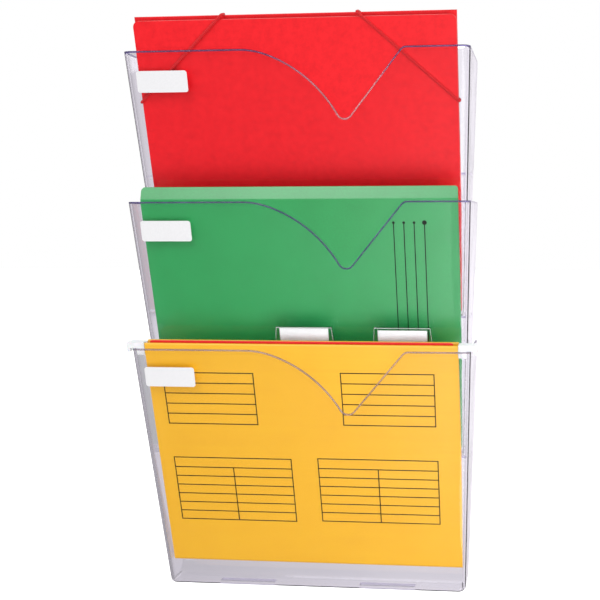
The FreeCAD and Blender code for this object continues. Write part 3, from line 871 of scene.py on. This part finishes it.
def green_print(made):
    """Four upright lines, each with a dot at its head; the last dot is larger."""
    half = SCALE_LINE / 2
    for x in SCALE_X:
        ink_bar(made, (x * MM - half, x * MM + half), (SCALE_FOOT, SCALE_HEAD), green_wave)
        ink_dot(made, x * MM, DOT_AT, LAST_DOT if x == SCALE_X[-1] else DOT, green_wave)


new_piece("green_folder_print", green_print, ["print_ink"], "green_folder", (), green_place)


# ---------------------------------------------------------------- yellow suspension file

SLEEVE_THICK = 9.8 * MM
SLEEVE_TALL = 250.5 * MM
SLEEVE_BOARD = 0.8 * MM
HEM_TALL = 13 * MM
HEM_DEPTH = 3.4 * MM
sleeve_place = file_frame("suspension_sleeve", SLEEVE_THICK)
rear_leaf = SLEEVE_THICK - SLEEVE_BOARD
hem_foot = SLEEVE_TALL - HEM_TALL
hem_far = rear_leaf + HEM_DEPTH - SLEEVE_BOARD
hem_roof = SLEEVE_TALL - SLEEVE_BOARD
sleeve_path = smooth_path([
    (SLEEVE_BOARD * 2 + 0.1 * MM, hem_foot, 0), (HEM_DEPTH, hem_foot + 3.5 * MM, 3 * MM),
    (HEM_DEPTH, SLEEVE_TALL, 1.5 * MM), (0, SLEEVE_TALL, 1.5 * MM), (0, 0, 3 * MM),
    (SLEEVE_THICK, 0, 3 * MM), (SLEEVE_THICK, hem_roof, 0.7 * MM), (hem_far, hem_roof, 0.7 * MM),
    (hem_far, hem_foot + 3.5 * MM, 3 * MM), (SLEEVE_THICK + 0.1 * MM, hem_foot, 0)])
sleeve = new_piece("suspension_file_sleeve",
                   lambda made: card(made, sleeve_path, FILE_WIDTH, SLEEVE_BOARD),
                   ["yellow_board", "yellow_edge"], "suspension_file",
                   ["suspension_sleeve"], sleeve_place)
soften(sleeve, 0.12 * MM)


def flat(x, y, z):
    """The leaves of the sleeve don't bow."""
    return 0


def form(made, left, right, top, rows, divider=None):
    """A blank printed form: a frame, its rows, and a divider below the first row."""
    half = LINE / 2
    heights = [top]
    for row in rows:
        heights.append(heights[-1] - row)
    for height in heights:
        ink_bar(made, (left - half, right + half), (height - half, height + half), flat)
    for x in (left, right):
        ink_bar(made, (x - half, x + half), (heights[-1], top), flat)
    if divider is not None:
        ink_bar(made, (divider - half, divider + half), (heights[-1], heights[1]), flat)


def sleeve_print(made):
    """Two short forms above two long ones."""
    short_rows = [11.25 * MM] * 5
    long_rows = [11.2 * MM] + [10.3 * MM] * 6
    form(made, -140.5 * MM, -48.4 * MM, 219.8 * MM, short_rows)
    form(made, 39.4 * MM, 131.7 * MM, 221.0 * MM, short_rows)
    form(made, -140.5 * MM, -17.8 * MM, 124.8 * MM, long_rows, -79 * MM)
    form(made, 10.0 * MM, 132.6 * MM, 126.2 * MM, long_rows, 71.5 * MM)


new_piece("suspension_file_print", sleeve_print, ["print_ink"], "suspension_file", (), sleeve_place)

THIN_START = HEM_DEPTH + 0.3 * MM
THIN_END = THIN_START + 2.6 * MM
THIN_TALL, THIN_WIDTH, THIN_FOOT = 252.5 * MM, 304 * MM, 1.2 * MM
thin_path = smooth_path([(THIN_START, THIN_TALL, 0), (THIN_START, THIN_FOOT, 1.2 * MM),
                         (THIN_END, THIN_FOOT, 1.2 * MM), (THIN_END, THIN_TALL, 0)])
thin_card = new_piece("thin_red_folder_cover",
                      lambda made: card(made, thin_path, THIN_WIDTH, 0.6 * MM, (4 * MM, 4 * MM)),
                      ["thin_red_card", "red_edge"], "thin_folder", ["thin_red_folder"],
                      sleeve_place)
soften(thin_card, 0.1 * MM)
papers("suspension_file_sheets", "suspension_papers", "thin_folder", sleeve_place,
       (THIN_START + 0.85 * MM, THIN_END - 0.85 * MM), 2.2 * MM, 231 * MM, 5, 7)


# ---------------------------------------------------------------- hooks and index tabs

for row in ("front", "rear"):
    for side in ("left", "right"):
        name = "hook_%s_%s" % (row, side)
        soften(nodes[name], 0.35 * MM, 2, 30)
        cover(name, "white_plastic")

for name in ("suspension_front_rod", "suspension_rear_rod", "green_folder_fastener"):
    cover(name, "rod_steel")

TAB_FOOT = 239.5 * MM
TAB_TALL = 24.3 * MM
TAB_HALF_FOOT, TAB_HALF_TOP = 30 * MM, 27.75 * MM
INSERT_FOOT = TAB_FOOT + 0.3 * MM
INSERT_TALL, TORN_OFF = 23 * MM, 1.6 * MM
TEETH, TOOTH = 33, 0.45 * MM
tab_start = SLEEVE_THICK + SLEEVE_BOARD + 1.8 * MM + 0.3 * MM

for side in ("left", "right"):
    cover("index_holder_" + side, "tab_plastic")
    nodes["index_holder_" + side].visible_shadow = False
    low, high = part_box("index_insert_" + side)
    middle, half = (low.x + high.x) / 2, (high.x - low.x) / 2

    def insert(made):
        """A card whose top edge was torn along a perforation."""
        top = INSERT_FOOT + INSERT_TALL - (TORN_OFF if side == "right" else 0)
        outline = [(middle - half, INSERT_FOOT), (middle + half, INSERT_FOOT)]
        for k in range(TEETH * 2 + 1):
            x = middle + half - half * 2 * k / (TEETH * 2)
            outline.append((x, top - (TOOTH if k % 2 else 0)))
        plate(made, outline, tab_start + 1.0 * MM, tab_start + 1.4 * MM)

    new_piece("index_card_" + side, insert, ["white_paper"], "suspension_file",
              ["index_insert_" + side], sleeve_place)

    def holder_rim(made):
        """The welded edge of the clear holder."""
        inset = 0.4 * MM
        wide, narrow = TAB_HALF_FOOT - inset, TAB_HALF_TOP - inset
        foot, top = TAB_FOOT + inset, TAB_FOOT + TAB_TALL - inset
        corners = [(middle - wide, foot), (middle - narrow, top), (middle + narrow, top),
                   (middle + wide, foot)]
        bead(made, [Vector((x, tab_start + 0.4 * MM, z)) for x, z in corners], 0.38 * MM)

    new_piece("index_holder_rim_" + side, holder_rim, ["tab_rim"], "suspension_file",
              (), sleeve_place)


# ---------------------------------------------------------------- stage, lights and camera

FLOOR_HALF, FLOOR_DROP = 14, 0.42
FRONT_WALL, LEFT_WALL, LOW_WALL = 0.04, 0.52, 0.72       # strength of the walls; elsewhere it is near 1
SIDE_WALL = 0.95
LEFT_EDGE, FAR_EDGE = (-0.55, -0.12), (-0.95, -0.8)      # directions between which a wall's light changes
LOW_EDGE, FRONT_EDGE = (-0.55, -0.15), (-0.1, 0.2)
LIFT, LIFT_X, LIFT_Z = 0.15, (-0.04, 0.03), (0.06, -0.04)      # the extra light low on the right
SKY_LOW, SKY_HIGH = 0.46, 1.12
THROUGH_TINT, MIRROR_TINT = (0.98, 0.95, 1.0, 1), (0.98, 0.94, 1.0, 1)


def floor():
    """A wide pale floor. Only the camera sees it; all other rays meet the studio walls."""
    mesh = bpy.data.meshes.new("floor")
    half = FLOOR_HALF
    level = cad_low.z - FLOOR_DROP
    corners = [(-half, -half, level), (half, -half, level), (half, half, level), (-half, half, level)]
    mesh.from_pydata(corners, [], [(0, 1, 2, 3)])
    ground = bpy.data.objects.new("floor", mesh)
    bpy.context.scene.collection.objects.link(ground)
    n = Nodes("floor")
    shade = n.ramp(n.noise(3, 2), (0.3, (0.93, 0.93, 0.93)), (0.7, (0.95, 0.95, 0.95)))
    mesh.materials.append(n.surface(Base_Color=shade, Roughness=0.9, Emission_Color=(1, 1, 1, 1),
                                    Emission_Strength=0.5))
    ground.visible_diffuse = False
    ground.visible_glossy = False
    ground.visible_transmission = False


def studio():
    """White for the camera, light from above for matt surfaces, and walls for clear and glossy ones.

    Rays that were mirrored once meet a dark front wall, so that reflections don't veil the plastic,
    with a little more light low on the right. All other rays meet a bright one.
    """
    world = bpy.data.worlds.new("studio")
    bpy.context.scene.world = world
    world.use_nodes = True
    tree = world.node_tree
    tree.nodes.clear()

    def add(kind, *links, **settings):
        node = tree.nodes.new(kind)
        for key, value in settings.items():
            setattr(node, key, value)
        for index, value in links:
            if isinstance(value, bpy.types.NodeSocket):
                tree.links.new(value, node.inputs[index])
            else:
                node.inputs[index].default_value = value
        return node.outputs

    def stretch(value, low, high, to_low, to_high):
        return add("ShaderNodeMapRange", ("Value", value), ("From Min", low), ("From Max", high),
                   ("To Min", to_low), ("To Max", to_high))[0]

    def combine(a, b, operation="MULTIPLY"):
        return add("ShaderNodeMath", (0, a), (1, b), operation=operation)[0]

    def background(strength, colour=(1, 1, 1, 1)):
        return add("ShaderNodeBackground", ("Color", colour), ("Strength", strength))[0]

    def choose(factor, otherwise, chosen):
        return add("ShaderNodeMixShader", (0, factor), (1, otherwise), (2, chosen))[0]

    heading = add("ShaderNodeSeparateXYZ", (0, add("ShaderNodeTexCoord")["Generated"]))
    behind = stretch(heading["Y"], *FRONT_EDGE, FRONT_WALL, 1.0)
    left = stretch(heading["X"], *LEFT_EDGE, LEFT_WALL, SIDE_WALL)
    far_left = stretch(heading["X"], *FAR_EDGE, SIDE_WALL, 0.0)
    lower = stretch(heading["Z"], *LOW_EDGE, LOW_WALL, 1.0)
    bright = combine(combine(left, far_left, "MAXIMUM"), lower)
    low_right = combine(stretch(heading["X"], *LIFT_X, 0.0, LIFT), stretch(heading["Z"], *LIFT_Z, 0.0, 1.0))
    lifted = combine(bright, combine(low_right, 1.0, "ADD"))
    through = background(bright, THROUGH_TINT)
    mirrored = background(combine(behind, lifted), MIRROR_TINT)
    sky = background(stretch(heading["Z"], -1.0, 1.0, SKY_LOW, SKY_HIGH))
    rays = add("ShaderNodeLightPath")
    walls = choose(combine(rays["Glossy Depth"], 0.5, "GREATER_THAN"), through, mirrored)
    unseen = choose(rays["Is Diffuse Ray"], walls, sky)
    add("ShaderNodeOutputWorld", ("Surface", choose(rays["Is Camera Ray"], unseen, background(1.0))))


def softbox(name, place, size, power):
    """A soft rectangular lamp that looks at the middle of the object. The camera doesn't see it."""
    target = Vector((0, 0, (cad_low.z + cad_high.z) / 2))
    data = bpy.data.lights.new(name, "AREA")
    data.shape = "RECTANGLE"
    data.size, data.size_y = size
    data.energy = power
    lamp = bpy.data.objects.new(name, data)
    bpy.context.scene.collection.objects.link(lamp)
    lamp.location = place
    lamp.rotation_euler = (target - Vector(place)).to_track_quat("-Z", "Y").to_euler()
    lamp.visible_camera = False


CAMERA_PLACE = (0.2361, -1.0012, 0.2671)
CAMERA_TURN = 0.097
CAMERA_NOD = -0.0815
CAMERA_ROLL = 0.0025
CAMERA_LENS = 57.34
CAMERA_SHIFT = (-0.25, -0.004)


def camera():
    """The eye of the front view. Its turn, nod and roll start from a level look along +Y."""
    data = bpy.data.cameras.new("camera")
    data.sensor_width = 36
    data.lens = CAMERA_LENS
    data.shift_x, data.shift_y = CAMERA_SHIFT
    data.clip_start, data.clip_end = 0.01, 100
    eye = bpy.data.objects.new("camera", data)
    bpy.context.scene.collection.objects.link(eye)
    eye.matrix_world = (Matrix.Translation(CAMERA_PLACE) @ Matrix.Rotation(CAMERA_TURN, 4, "Z")
                        @ Matrix.Rotation(CAMERA_NOD, 4, "X") @ Matrix.Rotation(CAMERA_ROLL, 4, "Y")
                        @ Matrix.Rotation(math.pi / 2, 4, "X"))
    bpy.context.scene.camera = eye


floor()
studio()
softbox("key_light", (0.64, -0.92, -0.36), (1.1, 1.0), 11.0)
softbox("fill_light", (-0.35, -1.3, 1.3), (0.9, 0.9), 7.5)
softbox("back_light", (0.2, 1.6, 1.2), (1.6, 1.0), 6)
camera()
bpy.context.scene.view_settings.view_transform = "Standard"
